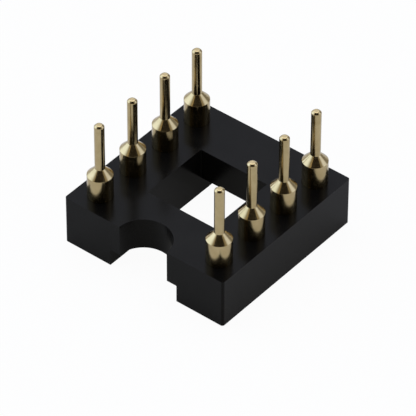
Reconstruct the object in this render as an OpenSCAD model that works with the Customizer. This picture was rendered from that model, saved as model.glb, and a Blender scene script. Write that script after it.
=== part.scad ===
// Dual in-line socket for an eight-lead chip, with turned contacts in a moulded housing.
// It lies on its mating face, z = 0, with the solder tails pointing up. X runs across the
// two rows and the notched end is at -Y. Sizes are in millimetres.

/* [Contact grid] */
// Distance from one contact to the next in a row
pitch = 2.54; // [2.3:0.01:3]
// Distance between the two rows
row_spacing = 7.62; // [6.8:0.01:10.2]

/* [Housing] */
// Height of the rails, from the mating face to the solder face
rail_h = 2.86; // [2.4:0.01:3.2]
// From a row of contacts to the outer face of its rail
rail_outer = 1.27; // [1.12:0.01:1.6]
// From a row of contacts to the inner face of its rail
rail_inner = 1.68; // [1.2:0.01:1.9]
// Depth of the crossbar that has the notch
notch_bar = 2.92; // [2.2:0.01:3.3]
// Depth of the plain crossbar
plain_bar = 3; // [2:0.01:3.3]
// Height of the gap under both crossbars
bar_gap = 1.01; // [0.5:0.01:1.5]
// Radius of the half-round notch
notch_r = 1.52; // [1:0.01:1.7]
// Radius of the upright outer corners
corner_r = 0.14; // [0.05:0.01:0.4]
// Radius of the corners inside the window
window_r = 0.1; // [0.05:0.01:0.3]

/* [Contact sleeve, in the housing] */
// Diameter of the head in the mating face
head_d = 1.8; // [1.66:0.01:2]
// Thickness of the head
head_h = 0.5; // [0.3:0.01:0.8]
// How far the head lies below the mating face
head_sink = 0.08; // [0.02:0.01:0.3]
// Diameter of the barrel behind the head
barrel_d = 1.5; // [1.42:0.01:1.56]
// How far each press-fit barb stands out from the barrel
barb_out = 0.05; // [0.02:0.01:0.07]
// Length of one barb
barb_h = 0.3; // [0.2:0.01:0.45]
// Number of barbs on the barrel
barbs = 2; // [1:1:3]
// Height at which the barrel steps down to the shoulder, below the solder face
throat_h = 0.5; // [0.2:0.01:0.7]

/* [Contact sleeve, solder side] */
// Diameter of the shoulder that carries the socket on its board
shoulder_d = 1.35; // [1.24:0.01:1.4]
// How far the shoulder stands out of the solder face
shoulder_out = 1.36; // [0.8:0.01:2]
// Height of the cone between shoulder and tail
cone_h = 0.43; // [0.2:0.01:0.8]
// Diameter of the solder tail
tail_d = 0.53; // [0.4:0.01:0.7]
// Length of the solder tail beyond the cone
tail_l = 2.77; // [1.8:0.01:4]
// Chamfer at the tip of the tail
tip_chamfer = 0.11; // [0.03:0.01:0.18]

/* [Contact sleeve, bore] */
// Diameter of the bore that the clip is pressed into
bore_d = 1.08; // [0.98:0.01:1.1]
// Diameter of the lead-in at the mouth
mouth_d = 1.46; // [1.2:0.01:1.56]
// Depth of the lead-in
mouth_h = 0.24; // [0.1:0.01:0.4]
// Depth of the bore for the clip, behind the lead-in
bore_h = 2.1; // [1.9:0.01:2.6]
// Diameter of the drilled end behind the clip
drill_d = 0.84; // [0.76:0.01:0.92]
// Depth of the drilled end
drill_h = 0.9; // [0.5:0.01:1.1]

/* [Contact clip] */
// Thickness of the strip
strip_t = 0.08; // [0.05:0.01:0.1]
// Height of the closed collar
collar_h = 0.5; // [0.3:0.01:0.7]
// Length over which the fingers close in to their waist
finger_l = 0.95; // [0.7:0.01:1.05]
// Inner diameter at the waist, where the fingers grip the lead
waist_d = 0.42; // [0.36:0.01:0.5]
// Length of the straight waist
waist_l = 0.3; // [0.2:0.01:0.4]
// How far the finger ends flare out again
flare_out = 0.07; // [0.03:0.01:0.1]
// Length of the flared ends
flare_h = 0.2; // [0.1:0.01:0.28]
// Width of the slots between the fingers
slot_w = 0.12; // [0.08:0.01:0.16]
// Number of slots, each of which cuts right across the clip
slots = 2; // [2:1:3]

/* [Clearances] */
// Radial gap of the pressed fits
press_gap = 0.01; // [0.005:0.005:0.02]
// Radial gap between the shoulder and its hole in the solder face
shoulder_gap = 0.03; // [0.01:0.01:0.04]

/* [Hidden] */
$fn = 64;

per_row = 4;
overcut = 1;
drill_angle = 118;

body_w = row_spacing + 2 * rail_outer;
body_l = per_row * pitch;
window_w = row_spacing - 2 * rail_inner;
window_l = body_l - notch_bar - plain_bar;
window_y = (notch_bar - plain_bar) / 2;

head_z = head_sink + head_h;
step_z = rail_h - throat_h;
shoulder_z = rail_h + shoulder_out;
cone_z = shoulder_z + cone_h;
tip_z = cone_z + tail_l;
barb_pitch = (step_z - head_z) / barbs;

bore_z = head_sink + mouth_h;
drill_z = bore_z + bore_h;
drill_end_z = drill_z + drill_h;
drill_tip_z = drill_end_z + drill_d / 2 / tan(drill_angle / 2);

clip_d = bore_d - 2 * press_gap;
finger_z = bore_z + collar_h;
waist_z = finger_z + finger_l;
flare_z = waist_z + waist_l;

// Contacts are numbered round the housing: up the left row from the notch, back down the right
function contact_at(n) = n <= per_row
    ? [-row_spacing / 2, (n - (per_row + 1) / 2) * pitch]
    : [row_spacing / 2, (1.5 * per_row + 0.5 - n) * pitch];

module rounded_rectangle(size, r) {
    square([size.x - 2 * r, size.y], center = true);
    square([size.x, size.y - 2 * r], center = true);
    for (x = [-1, 1], y = [-1, 1])
        translate([x * (size.x / 2 - r), y * (size.y / 2 - r)]) circle(r);
}

// Outline of a barrel from its head to its throat. Each barb has its full height on the side of
// the head, so that it slides in and bites on the way out.
barrel_points = [
    [barrel_d / 2, head_z],
    for (i = [0 : barbs - 1])
        let (z = head_z + (i + 0.5) * barb_pitch - barb_h / 2)
            each [[barrel_d / 2, z], [barrel_d / 2 + barb_out, z], [barrel_d / 2, z + barb_h]],
    [barrel_d / 2, step_z]
];

// Stepped hole for one contact, through the full height of a rail. The barbs bite its straight wall.
module contact_hole() {
    head_hole_r = head_d / 2 + press_gap;
    barrel_hole_r = barrel_d / 2 + barb_out + press_gap;
    shoulder_hole_r = shoulder_d / 2 + shoulder_gap;
    rotate_extrude() polygon([
        [0, -overcut], [head_hole_r, -overcut], [head_hole_r, head_z],
        [barrel_hole_r, head_z], [barrel_hole_r, step_z],
        [shoulder_hole_r, step_z], [shoulder_hole_r, rail_h + overcut], [0, rail_h + overcut]
    ]);
}

module housing() {
    color([0.08, 0.08, 0.085])
    difference() {
        linear_extrude(rail_h) rounded_rectangle([body_w, body_l], corner_r);
        translate([0, window_y, -overcut])
            linear_extrude(rail_h + 2 * overcut) rounded_rectangle([window_w, window_l], window_r);
        translate([0, 0, (bar_gap - overcut) / 2])
            cube([window_w, body_l + 2 * overcut, bar_gap + overcut], center = true);
        translate([0, -body_l / 2, -overcut])
            cylinder(h = rail_h + 2 * overcut, r = notch_r);
        for (n = [1 : 2 * per_row])
            translate(contact_at(n)) contact_hole();
    }
}

module contact_sleeve(n) {
    color([0.86, 0.75, 0.5])
    translate(contact_at(n))
    rotate_extrude() polygon([
        [bore_d / 2, bore_z], [mouth_d / 2, head_sink], [head_d / 2, head_sink], [head_d / 2, head_z],
        each barrel_points,
        [shoulder_d / 2, step_z], [shoulder_d / 2, shoulder_z], [tail_d / 2, cone_z],
        [tail_d / 2, tip_z - tip_chamfer], [tail_d / 2 - tip_chamfer, tip_z], [0, tip_z],
        [0, drill_tip_z], [drill_d / 2, drill_end_z], [drill_d / 2, drill_z], [bore_d / 2, drill_z]
    ]);
}

// The waist is straight inside, where it grips, and bends over one edge outside
module contact_clip(n) {
    color([0.8, 0.66, 0.36])
    translate(contact_at(n))
    difference() {
        rotate_extrude() polygon([
            [clip_d / 2 - strip_t, bore_z], [clip_d / 2, bore_z],
            [clip_d / 2, finger_z], [waist_d / 2 + strip_t, waist_z + waist_l / 2],
            [waist_d / 2 + strip_t + flare_out, flare_z + flare_h],
            [waist_d / 2 + flare_out, flare_z + flare_h], [waist_d / 2, flare_z],
            [waist_d / 2, waist_z], [clip_d / 2 - strip_t, finger_z]
        ]);
        for (i = [0 : slots - 1])
            rotate([0, 0, i * 180 / slots]) {
                translate([-bore_d / 2, -slot_w / 2, finger_z + slot_w / 2])
                    cube([bore_d, slot_w, bore_h]);
                translate([0, 0, finger_z + slot_w / 2]) rotate([0, 90, 0])
                    cylinder(h = bore_d, d = slot_w, center = true);
            }
    }
}

housing();
for (n = [1 : 2 * per_row]) {
    contact_sleeve(n);
    contact_clip(n);
}
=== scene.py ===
# Studio picture of a dual in-line socket with turned contacts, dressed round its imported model.
import math
import bmesh
import bpy
from mathutils import Matrix, Vector


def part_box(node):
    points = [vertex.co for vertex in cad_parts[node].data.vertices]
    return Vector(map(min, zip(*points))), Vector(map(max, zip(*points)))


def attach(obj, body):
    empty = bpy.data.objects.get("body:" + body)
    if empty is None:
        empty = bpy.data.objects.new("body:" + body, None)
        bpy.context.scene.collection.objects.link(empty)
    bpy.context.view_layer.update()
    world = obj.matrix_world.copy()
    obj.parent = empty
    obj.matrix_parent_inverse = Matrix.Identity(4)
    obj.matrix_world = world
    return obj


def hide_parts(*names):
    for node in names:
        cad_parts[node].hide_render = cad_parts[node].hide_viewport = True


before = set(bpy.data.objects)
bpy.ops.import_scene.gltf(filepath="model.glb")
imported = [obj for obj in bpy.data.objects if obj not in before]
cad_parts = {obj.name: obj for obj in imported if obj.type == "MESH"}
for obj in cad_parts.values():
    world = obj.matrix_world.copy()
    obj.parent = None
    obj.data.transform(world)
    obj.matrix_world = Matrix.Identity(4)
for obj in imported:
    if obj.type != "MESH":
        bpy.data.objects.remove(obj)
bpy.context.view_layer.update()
millimetre = 0.001
scene = bpy.context.scene
scene.view_settings.view_transform = "Standard"
print("loaded", len(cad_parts), "solids")


# Camera: found from the photograph's corners and contacts, in degrees and millimetres
cameraSettings = {
    "azimuth": 38.95,
    "elevation": 40.94,
    "roll": 0.191,
    "lens": 364.3,
    "distance": 213.75,
    "target": (-1.094, 1.374, 0.0),
    "clipStart": 10.0,
}


def placeCamera(settings):
    turn = math.radians(settings["azimuth"])
    rise = math.radians(settings["elevation"])
    tilt = math.radians(settings["roll"])
    back = Vector((math.sin(turn) * math.cos(rise), -math.cos(turn) * math.cos(rise),
                   math.sin(rise)))
    level = Vector((math.cos(turn), math.sin(turn), 0))
    right = level * math.cos(tilt) + back.cross(level) * math.sin(tilt)
    spot = (Vector(settings["target"]) + back * settings["distance"]) * millimetre
    camera = bpy.data.objects.new("camera", bpy.data.cameras.new("camera"))
    camera.data.lens = settings["lens"]
    camera.data.clip_start = settings["clipStart"] * millimetre
    turned = Matrix((right, back.cross(right), back)).transposed()
    camera.matrix_world = Matrix.Translation(spot) @ turned.to_4x4()
    scene.collection.objects.link(camera)
    scene.camera = camera
    return back, level


towardsCamera, levelRight = placeCamera(cameraSettings)
print("camera placed")


# Materials
def newMaterial(name):
    material = bpy.data.materials.new(name)
    material.use_nodes = True
    tree = material.node_tree
    return material, tree, tree.nodes["Principled BSDF"]


def addNode(tree, kind, link=None):
    node = tree.nodes.new(kind)
    if link is not None:
        tree.links.new(link, node.inputs[0])
    return node


def grain(tree, size, detail=3, roughness=0.55):
    # noise whose features are about this many millimetres across, the same in every direction
    place = addNode(tree, "ShaderNodeTexCoord")
    noise = addNode(tree, "ShaderNodeTexNoise", place.outputs["Object"])
    noise.inputs["Scale"].default_value = 1 / (size * millimetre)
    noise.inputs["Detail"].default_value = detail
    noise.inputs["Roughness"].default_value = roughness
    return noise.outputs["Fac"]


noiseReach = (0.3, 0.7)     # nearly all of the noise lies between these
toneStops = (0.35, 0.65)    # levels of the noise at which the first tone ends and the second begins


def spread(tree, value, low, high):
    # noise stretched to run from low to high
    node = addNode(tree, "ShaderNodeMapRange", value)
    node.inputs["From Min"].default_value = noiseReach[0]
    node.inputs["From Max"].default_value = noiseReach[1]
    node.inputs["To Min"].default_value = low
    node.inputs["To Max"].default_value = high
    return node.outputs["Result"]


def tones(tree, value, first, second):
    ramp = addNode(tree, "ShaderNodeValToRGB", value)
    for element, stop, tone in zip(ramp.color_ramp.elements, toneStops, (first, second)):
        element.position = stop
        element.color = (*tone, 1)
    return ramp.outputs["Color"]


def relief(tree, height, depth, under=None):
    # bump whose full height is this many millimetres
    bump = addNode(tree, "ShaderNodeBump")
    bump.inputs["Distance"].default_value = depth * millimetre
    tree.links.new(height, bump.inputs["Height"])
    if under is not None:
        tree.links.new(under, bump.inputs["Normal"])
    return bump.outputs["Normal"]


def mottle(tree, shader, settings):
    # faint patches, in the colour and in the gloss
    patches = grain(tree, settings["patch"])
    colour = tones(tree, patches, settings["deep"], settings["pale"])
    tree.links.new(colour, shader.inputs["Base Color"])
    tree.links.new(spread(tree, patches, *settings["gloss"]), shader.inputs["Roughness"])


def addSpeckle(tree, shader, settings, under=None):
    # the finest texture, which lies on top of any other relief
    fine = grain(tree, settings["speckle"], detail=2)
    normal = relief(tree, fine, settings["speckleDepth"], under)
    tree.links.new(normal, shader.inputs["Normal"])


waveFactor = 20     # a wave texture of scale 1 has this many radians to the metre


def turningRings(tree, settings):
    # fine rings left by the lathe, all round the upright axis
    place = addNode(tree, "ShaderNodeTexCoord")
    rings = addNode(tree, "ShaderNodeTexWave", place.outputs["Object"])
    rings.bands_direction = "Z"
    scale = 2 * math.pi / (waveFactor * settings["ringPitch"] * millimetre)
    rings.inputs["Scale"].default_value = scale
    rings.inputs["Distortion"].default_value = settings["ringWobble"]
    rings.inputs["Detail"].default_value = settings["ringDetail"]
    rings.inputs["Detail Scale"].default_value = settings["ringDetailScale"]
    return rings.outputs["Fac"]


def toolRings(tree, settings):
    # uneven rings at steps along the axis, on sloping faces alone
    place = addNode(tree, "ShaderNodeTexCoord")
    along = addNode(tree, "ShaderNodeVectorMath", place.outputs["Object"])
    along.operation = "MULTIPLY"
    along.inputs[1].default_value = (0, 0, 1)   # the height alone
    rings = addNode(tree, "ShaderNodeTexNoise", along.outputs["Vector"])
    rings.inputs["Scale"].default_value = 1 / (settings["toolPitch"] * millimetre)
    rings.inputs["Detail"].default_value = settings["toolDetail"]
    tilt = addNode(tree, "ShaderNodeSeparateXYZ", place.outputs["Normal"])
    share = addNode(tree, "ShaderNodeMapRange", tilt.outputs["Z"])
    share.inputs["From Min"].default_value = settings["toolSlope"][0]
    share.inputs["From Max"].default_value = settings["toolSlope"][1]
    height = addNode(tree, "ShaderNodeMath", rings.outputs["Fac"])
    height.operation = "MULTIPLY"
    tree.links.new(share.outputs["Result"], height.inputs[1])
    return height.outputs["Value"]


plasticSettings = {
    "deep": (0.003, 0.0028, 0.0025),
    "pale": (0.0045, 0.0042, 0.0037),
    "patch": 1.6,           # size of the faint cloudy patches, mm
    "gloss": (0.17, 0.26),  # roughness, from the smoothest patch to the roughest
    "flow": 2.2,            # size of the slow waves in the moulded faces, mm
    "flowDepth": 0.002,
    "speckle": 0.05,        # size of the mould's fine texture, mm
    "speckleDepth": 0.0004,
    "specular": 0.094,
    "specularTint": (1, 0.93, 0.76, 1),
}


def mouldedPlastic(settings):
    material, tree, shader = newMaterial("blackMouldedPlastic")
    mottle(tree, shader, settings)
    waves = relief(tree, grain(tree, settings["flow"], detail=1), settings["flowDepth"])
    addSpeckle(tree, shader, settings, waves)
    shader.inputs["Specular IOR Level"].default_value = settings["specular"]
    shader.inputs["Specular Tint"].default_value = settings["specularTint"]
    return material


goldSettings = {
    "deep": (0.45, 0.345, 0.168),
    "pale": (0.515, 0.4, 0.206),
    "patch": 0.5,
    "gloss": (0.095, 0.13),
    "brushed": 1.0,             # how far the lathe's rings stretch a reflection
    "brushTurn": 0.25,          # a quarter turn, so that they stretch it along the axis
    "ringPitch": 0.06,
    "ringDepth": 0.0003,
    "ringWobble": 1.5,
    "ringDetail": 2,
    "ringDetailScale": 0.4,
    "toolPitch": 0.09,          # coarser rings that the form tool leaves on the sloping faces
    "toolDepth": 0.008,
    "toolDetail": 1,
    "toolSlope": (0.35, 0.6),   # upward tilt of the face, from no such rings to full ones
    "speckle": 0.06,
    "speckleDepth": 0.0003,
}


def platedGold(settings):
    material, tree, shader = newMaterial("platedTurnedBrass")
    mottle(tree, shader, settings)
    rings = relief(tree, turningRings(tree, settings), settings["ringDepth"])
    toolMarks = relief(tree, toolRings(tree, settings), settings["toolDepth"], rings)
    addSpeckle(tree, shader, settings, toolMarks)
    around = addNode(tree, "ShaderNodeTangent")
    around.direction_type = "RADIAL"
    around.axis = "Z"
    tree.links.new(around.outputs["Tangent"], shader.inputs["Tangent"])
    shader.inputs["Anisotropic"].default_value = settings["brushed"]
    shader.inputs["Anisotropic Rotation"].default_value = settings["brushTurn"]
    shader.inputs["Metallic"].default_value = 1
    return material


stripSettings = {
    "deep": (0.6, 0.45, 0.2),
    "pale": (0.66, 0.51, 0.26),
    "patch": 0.25,
    "gloss": (0.2, 0.32),
    "speckle": 0.03,
    "speckleDepth": 0.0004,
}


def springStrip(settings):
    material, tree, shader = newMaterial("platedSpringStrip")
    mottle(tree, shader, settings)
    addSpeckle(tree, shader, settings)
    shader.inputs["Metallic"].default_value = 1
    return material


housingPlastic = mouldedPlastic(plasticSettings)
sleeveGold = platedGold(goldSettings)
clipGold = springStrip(stripSettings)
print("materials made")


# Shapes are made in millimetres, because the solvers work badly on sizes near a micron. They are
# scaled to metres last.
def addPiece(name, mesh, material, slotName, *nodes):
    mesh.transform(Matrix.Scale(millimetre, 4))
    mesh.materials.clear()
    mesh.materials.append(material)
    piece = bpy.data.objects.new(name, mesh)
    scene.collection.objects.link(piece)
    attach(piece, "root")
    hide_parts(*nodes)
    return piece


def boxInMillimetres(node):
    low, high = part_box(node)
    return Vector(low) / millimetre, Vector(high) / millimetre


def roundedProfile(corners, steps):
    # corners are (radius, height, fillet). Gives (radius, height, normal) along the line, whose
    # left side is the outside
    def side(a, b):
        along = (Vector(b[:2]) - Vector(a[:2])).normalized()
        return Vector((-along.y, along.x))

    points = [(corners[0][0], corners[0][1], side(corners[0], corners[1]))]
    for before, here, after in zip(corners, corners[1:], corners[2:]):
        first, second = side(before, here), side(here, after)
        turn = first.angle_signed(second)
        reach = here[2] * math.tan(abs(turn) / 2)
        corner = Vector(here[:2])
        start = corner + (Vector(before[:2]) - corner).normalized() * reach
        bend = here[2] if turn > 0 else -here[2]
        centre = start - first * bend
        for step in range(steps + 1):
            normal = first.slerp(second, step / steps)
            points.append((*(centre + normal * bend), normal))
    points.append((corners[-1][0], corners[-1][1], side(corners[-2], corners[-1])))
    return points


def turnedMesh(name, corners, axis, settings):
    # turns a profile round an upright axis, with exact normals from the profile's arcs
    segments = settings["segments"]
    mesh = bpy.data.meshes.new(name)
    vertices, normals, rings, faces = [], [], [], []
    for radius, height, normal in roundedProfile(corners, settings["filletSteps"]):
        count = segments if radius > settings["pointRadius"] else 1
        rings.append([len(vertices) + i for i in range(count)])
        for i in range(count):
            angle = 2 * math.pi * i / segments
            x, y = radius * math.cos(angle), radius * math.sin(angle)
            vertices.append((axis[0] + x, axis[1] + y, height))
            flat = 0 if count == 1 else normal.x
            tilted = Vector((flat * math.cos(angle), flat * math.sin(angle), normal.y))
            normals.append(tilted.normalized())
    for upper, lower in zip(rings, rings[1:]):
        for i in range(segments):
            j = (i + 1) % segments
            quad = [upper[i % len(upper)], lower[i % len(lower)],
                    lower[j % len(lower)], upper[j % len(upper)]]
            faces.append(list(dict.fromkeys(quad)))     # a triangle where one ring is a point
    mesh.from_pydata(vertices, [], faces)
    mesh.shade_smooth()
    mesh.normals_split_custom_set_from_vertices(normals)
    return mesh


# Turned sleeve of one contact: the outside from tip to head, then the bore back up to its
# drilled end
sleeveSettings = {
    "tipChamfer": 0.11,
    "tailRadius": 0.265,
    "tailLength": 2.77,
    "coneHeight": 0.43,
    "shoulderRadius": 0.675,
    "stepHeight": 2.36,      # where the shoulder grows to the barrel, inside the housing
    "barrelRadius": 0.75,
    "barbOut": 0.05,
    "barbHeight": 0.3,
    "barbs": 2,
    "headHeight": 0.5,
    "mouthRadius": 0.73,
    "mouthDepth": 0.24,
    "boreRadius": 0.54,
    "boreDepth": 2.1,
    "drillRadius": 0.42,
    "drillDepth": 0.9,
    "drillAngle": 118,
    "fillet": 0.025,
    "fineFillet": 0.0125,    # at the barbs and at the step in the bore
    "tipFillet": 0.11,       # between the tip's flat and its chamfer
    "rimFillet": 0.07,       # between the chamfer and the tail
    "filletSteps": 4,
    "segments": 96,
    "pointRadius": 1e-6,     # a ring that is smaller than this closes to a point
}


def sleeveCorners(settings, low, high):
    s = settings
    small, fine = s["fillet"], s["fineFillet"]
    tipTop = high.z
    coneTop = tipTop - s["tailLength"]
    shoulderTop = coneTop - s["coneHeight"]
    headRadius = (high.x - low.x) / 2
    headTop = low.z + s["headHeight"]
    barbPitch = (s["stepHeight"] - headTop) / s["barbs"]
    boreBottom = low.z + s["mouthDepth"]
    boreTop = boreBottom + s["boreDepth"]
    drillTop = boreTop + s["drillDepth"]
    drillPoint = drillTop + s["drillRadius"] / math.tan(math.radians(s["drillAngle"] / 2))
    corners = [
        (0, tipTop, 0),
        (s["tailRadius"] - s["tipChamfer"], tipTop, s["tipFillet"]),
        (s["tailRadius"], tipTop - s["tipChamfer"], s["rimFillet"]),
        (s["tailRadius"], coneTop, small),
        (s["shoulderRadius"], shoulderTop, small),
        (s["shoulderRadius"], s["stepHeight"], small),
        (s["barrelRadius"], s["stepHeight"], small),
    ]
    for i in reversed(range(s["barbs"])):
        foot = headTop + (i + 0.5) * barbPitch - s["barbHeight"] / 2
        corners += [
            (s["barrelRadius"], foot + s["barbHeight"], fine),
            (s["barrelRadius"] + s["barbOut"], foot, fine),
            (s["barrelRadius"], foot, fine),
        ]
    corners += [
        (s["barrelRadius"], headTop, small),
        (headRadius, headTop, small),
        (headRadius, low.z, small),
        (s["mouthRadius"], low.z, small),
        (s["boreRadius"], boreBottom, small),
        (s["boreRadius"], boreTop, fine),
        (s["drillRadius"], boreTop, fine),
        (s["drillRadius"], drillTop, small),
        (0, drillPoint, 0),
    ]
    return corners


def makeSleeve(number):
    node = f"contact_sleeve_{number}"
    low, high = boxInMillimetres(node)
    corners = sleeveCorners(sleeveSettings, low, high)
    mesh = turnedMesh(node, corners, (low + high) / 2, sleeveSettings)
    return addPiece(f"turned_sleeve_{number}", mesh, sleeveGold, "sleeve", node)


contactCount = 8
contactNumbers = range(1, contactCount + 1)
for number in contactNumbers:
    makeSleeve(number)
    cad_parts[f"contact_clip_{number}"].material_slots[0].material = clipGold
print("contacts turned")


# Moulded housing: a block with rounded upright corners, cut by its window, its notch, the gap
# under both crossbars and the stepped holes
housingSettings = {
    "windowWidth": 4.26,
    "notchBar": 2.92,
    "plainBar": 3.0,
    "barGap": 1.01,
    "notchRadius": 1.52,
    "cornerRadius": 0.14,
    "windowRadius": 0.02,
    "holeStep": 2.36,       # height at which a hole narrows to the shoulder
    "shoulderGap": 0.01,    # round the shoulder
    "pressGap": 0.01,       # round the head and the barbs
    "edgeRadius": 0.05,
    "edgeSteps": 3,
    "sharpAngle": 40,       # degrees from which an edge is rounded
    "holeReach": 0.95,      # edges this close to a contact's axis belong to its hole
    "holeShare": 0.2,       # their share of the edge radius, because the hole's rim is crisp
    "arcSteps": 8,          # to a quarter turn at an upright corner
    "circleSteps": 96,      # round the notch and the holes
    "overcut": 1.0,
}


def roundedRectangle(centre, width, length, radius, steps):
    points = []
    for quarter, (sideX, sideY) in enumerate(((1, 1), (-1, 1), (-1, -1), (1, -1))):
        cornerX = centre[0] + sideX * (width / 2 - radius)
        cornerY = centre[1] + sideY * (length / 2 - radius)
        for step in range(steps + 1):
            angle = math.pi / 2 * (quarter + step / steps)
            points.append((cornerX + radius * math.cos(angle), cornerY + radius * math.sin(angle)))
    return points


def circle(centre, radius, steps):
    angles = [2 * math.pi * i / steps for i in range(steps)]
    return [(centre[0] + radius * math.cos(a), centre[1] + radius * math.sin(a)) for a in angles]


def prism(name, outlines, bottom, top):
    # one closed solid for each outline, all in one object
    shape = bmesh.new()
    for outline in outlines:
        face = shape.faces.new([shape.verts.new((*point, bottom)) for point in outline])
        lifted = bmesh.ops.extrude_face_region(shape, geom=[face])
        moved = [part for part in lifted["geom"] if isinstance(part, bmesh.types.BMVert)]
        bmesh.ops.translate(shape, verts=moved, vec=(0, 0, top - bottom))
    bmesh.ops.recalc_face_normals(shape, faces=shape.faces)
    mesh = bpy.data.meshes.new(name)
    shape.to_mesh(mesh)
    shape.free()
    solid = bpy.data.objects.new(name, mesh)
    scene.collection.objects.link(solid)
    return solid


def cutAway(block, cutter):
    cut = block.modifiers.new(cutter.name, "BOOLEAN")
    cut.operation = "DIFFERENCE"
    cut.solver = "EXACT"
    cut.object = cutter
    return cutter


def finishedMesh(solid):
    bpy.context.view_layer.update()
    evaluated = solid.evaluated_get(bpy.context.evaluated_depsgraph_get())
    return bpy.data.meshes.new_from_object(evaluated)


def weighEdges(mesh, axes, settings):
    # how far each edge is rounded, as a share of the edge radius
    shape = bmesh.new()
    shape.from_mesh(mesh)
    weight = shape.edges.layers.float.new("bevel_weight_edge")
    for edge in shape.edges:
        if edge.calc_face_angle(0) < math.radians(settings["sharpAngle"]):
            continue
        middle = (edge.verts[0].co + edge.verts[1].co).xy / 2
        inHole = min((middle - axis.xy).length for axis in axes) < settings["holeReach"]
        edge[weight] = settings["holeShare"] if inHole else 1
    shape.to_mesh(mesh)
    shape.free()


def makeHousing(settings):
    s = settings
    low, high = boxInMillimetres("housing")
    under, over = low.z - s["overcut"], high.z + s["overcut"]
    width, length = high.x - low.x, high.y - low.y
    middle = (low + high) / 2
    arcSteps, circleSteps = s["arcSteps"], s["circleSteps"]
    outline = roundedRectangle(middle, width, length, s["cornerRadius"], arcSteps)
    block = prism("housingBlock", [outline], low.z, high.z)
    windowLength = length - s["notchBar"] - s["plainBar"]
    windowMiddle = (middle.x, middle.y + (s["notchBar"] - s["plainBar"]) / 2)
    window = roundedRectangle(windowMiddle, s["windowWidth"], windowLength, s["windowRadius"],
                              arcSteps)
    gap = [(middle.x + x * s["windowWidth"] / 2, middle.y + y * (length / 2 + s["overcut"]))
           for x, y in ((1, 1), (-1, 1), (-1, -1), (1, -1))]
    notch = circle((middle.x, low.y), s["notchRadius"], circleSteps)
    barrelRadius = sleeveSettings["barrelRadius"] + sleeveSettings["barbOut"] + s["pressGap"]
    shoulderRadius = sleeveSettings["shoulderRadius"] + s["shoulderGap"]
    axes, barrels, heads, shoulders = [], [], [], []
    for number in contactNumbers:
        start, end = boxInMillimetres(f"contact_sleeve_{number}")
        centre = (start + end) / 2
        headRadius = (end.x - start.x) / 2 + s["pressGap"]
        headTop = start.z + sleeveSettings["headHeight"]    # the same for every contact
        axes.append(centre)
        heads.append(circle(centre, headRadius, circleSteps))
        barrels.append(circle(centre, barrelRadius, circleSteps))
        shoulders.append(circle(centre, shoulderRadius, circleSteps))
    cutters = [
        cutAway(block, prism("window", [window], under, over)),
        cutAway(block, prism("gap", [gap], under, low.z + s["barGap"])),
        cutAway(block, prism("notch", [notch], under, over)),
        cutAway(block, prism("shoulders", shoulders, under, over)),
        cutAway(block, prism("barrels", barrels, under, s["holeStep"])),
        cutAway(block, prism("heads", heads, under, headTop)),
    ]
    sharpMesh = finishedMesh(block)
    weighEdges(sharpMesh, axes, s)
    block.modifiers.clear()
    block.data = sharpMesh
    soften = block.modifiers.new("edges", "BEVEL")
    soften.width = s["edgeRadius"]
    soften.segments = s["edgeSteps"]
    soften.limit_method = "WEIGHT"
    soften.harden_normals = True
    mesh = finishedMesh(block)
    for spare in [block, *cutters]:
        bpy.data.objects.remove(spare)
    return addPiece("moulded_housing", mesh, housingPlastic, "housing", "housing")


housing = makeHousing(housingSettings)
print("housing moulded:", len(housing.data.polygons), "faces")


# Stage: pale floor, two soft lamps, and a grey studio with brighter and darker patches that the
# metal mirrors
stageSettings = {
    "floorSize": 2.4,       # m
    "floorDrop": 0.01,      # mm that it lies below the object, so that their faces don't mix
    "floorColour": (0.7, 0.7, 0.7, 1),
    "floorRoughness": 0.9,
    "whiteness": 0.96,      # share of the floor that shows as plain white, without the shadow
    "mirrored": 0.25,       # the same, where metal or plastic reflects the floor
    "surround": (0.41, 0.38, 0.32),
    "panels": [
        # azimuth from the camera to the right, elevation, degrees from the panel's middle to which
        # it has its full strength, degrees at which it has none, colour
        (145, 8, 30, 55, (0.34, 0.34, 0.35)),
        (-105, 22, 6, 47, (1.62, 1.96, 2.6)),
        (91, 29, 2, 25, (1.2, 1.35, 1.8)),
        (180, 0, 12, 34, (0.13, 0.13, 0.13)),
        (0, 49, 33, 38, (0.03, 0.026, 0.022)),
    ],
    "lamps": {
        # azimuth, elevation, distance m, width m, height m, power W, colour
        "back": (180, 41, 0.5, 0.6, 0.45, 0.82, (0.79, 0.89, 1.2)),
        "over": (180, 78, 0.5, 0.5, 0.5, 1.15, (0.95, 1, 1.15)),
    },
}


def directionFrom(azimuth, elevation):
    level = towardsCamera.copy()
    level.z = 0
    level.normalize()
    turn, rise = math.radians(azimuth), math.radians(elevation)
    flat = level * math.cos(turn) + levelRight * math.sin(turn)
    return flat * math.cos(rise) + Vector((0, 0, math.sin(rise)))


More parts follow.
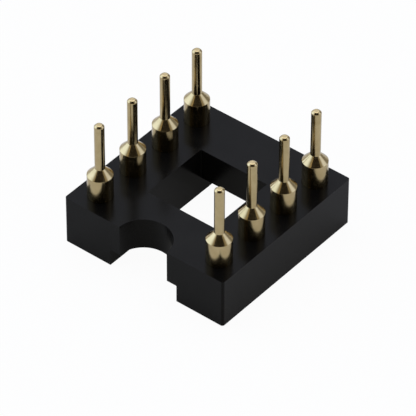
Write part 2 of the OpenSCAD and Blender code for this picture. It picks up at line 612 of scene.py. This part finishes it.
def makeFloor(settings):
    half, level = settings["floorSize"] / 2, -settings["floorDrop"] * millimetre
    corners = [(x * half, y * half, level) for x, y in ((-1, -1), (1, -1), (1, 1), (-1, 1))]
    mesh = bpy.data.meshes.new("floor")
    mesh.from_pydata(corners, [], [(0, 1, 2, 3)])
    material, tree, shader = newMaterial("paleFloor")
    shader.inputs["Base Color"].default_value = settings["floorColour"]
    shader.inputs["Roughness"].default_value = settings["floorRoughness"]
    shader.inputs["Specular IOR Level"].default_value = 0
    # share of plain white: one for the camera, another for reflections and for what shows through
    path = addNode(tree, "ShaderNodeLightPath")
    mirrored = addNode(tree, "ShaderNodeMath", path.outputs["Is Glossy Ray"])
    mirrored.operation = "MAXIMUM"
    tree.links.new(path.outputs["Is Transmission Ray"], mirrored.inputs[1])
    seen = addNode(tree, "ShaderNodeMath", path.outputs["Is Camera Ray"])
    seen.operation = "MULTIPLY"
    seen.inputs[1].default_value = settings["whiteness"]
    share = addNode(tree, "ShaderNodeMath", mirrored.outputs["Value"])
    share.operation = "MULTIPLY_ADD"
    share.inputs[1].default_value = settings["mirrored"]
    tree.links.new(seen.outputs["Value"], share.inputs[2])
    white = addNode(tree, "ShaderNodeEmission")
    blend = addNode(tree, "ShaderNodeMixShader", share.outputs["Value"])
    tree.links.new(shader.outputs["BSDF"], blend.inputs[1])
    tree.links.new(white.outputs["Emission"], blend.inputs[2])
    # seen from below the floor is clear, so that the mating face shows
    side = addNode(tree, "ShaderNodeNewGeometry")
    clear = addNode(tree, "ShaderNodeBsdfTransparent")
    oneSided = addNode(tree, "ShaderNodeMixShader", side.outputs["Backfacing"])
    tree.links.new(blend.outputs["Shader"], oneSided.inputs[1])
    tree.links.new(clear.outputs["BSDF"], oneSided.inputs[2])
    tree.links.new(oneSided.outputs["Shader"], tree.nodes["Material Output"].inputs["Surface"])
    mesh.materials.append(material)
    floor = bpy.data.objects.new("floor", mesh)
    scene.collection.objects.link(floor)


def makeSurround(settings):
    world = bpy.data.worlds.new("studio")
    scene.world = world
    world.use_nodes = True
    tree = world.node_tree
    place = addNode(tree, "ShaderNodeTexCoord")
    blend = None
    for azimuth, elevation, inner, outer, colour in settings["panels"]:
        facing = addNode(tree, "ShaderNodeVectorMath", place.outputs["Generated"])
        facing.operation = "DOT_PRODUCT"
        facing.inputs[1].default_value = directionFrom(azimuth, elevation)
        strength = addNode(tree, "ShaderNodeMapRange", facing.outputs["Value"])
        strength.interpolation_type = "SMOOTHSTEP"
        strength.inputs["From Min"].default_value = math.cos(math.radians(outer))
        strength.inputs["From Max"].default_value = math.cos(math.radians(inner))
        behind = blend
        blend = addNode(tree, "ShaderNodeMixRGB", strength.outputs["Result"])
        blend.inputs["Color1"].default_value = (*settings["surround"], 1)
        blend.inputs["Color2"].default_value = (*colour, 1)
        if behind is not None:
            tree.links.new(behind.outputs["Color"], blend.inputs["Color1"])
    # the studio lights the object and shows in it, while the camera sees plain white behind it
    path = addNode(tree, "ShaderNodeLightPath")
    seen = addNode(tree, "ShaderNodeMixRGB", path.outputs["Is Camera Ray"])
    tree.links.new(blend.outputs["Color"], seen.inputs["Color1"])
    seen.inputs["Color2"].default_value = (1, 1, 1, 1)
    tree.links.new(seen.outputs["Color"], tree.nodes["Background"].inputs["Color"])


def addLamp(name, azimuth, elevation, distance, width, height, power, colour):
    lamp = bpy.data.lights.new(name, "AREA")
    lamp.shape = "RECTANGLE"
    lamp.size, lamp.size_y = width, height
    lamp.energy = power
    lamp.color = colour
    direction = directionFrom(azimuth, elevation)
    holder = bpy.data.objects.new(name, lamp)
    holder.location = direction * distance
    holder.rotation_mode = "QUATERNION"
    holder.rotation_quaternion = direction.to_track_quat("Z", "Y")
    holder.visible_camera = False
    scene.collection.objects.link(holder)


makeFloor(stageSettings)
makeSurround(stageSettings)
for lampName, values in stageSettings["lamps"].items():
    addLamp(lampName, *values)
print("stage lit")
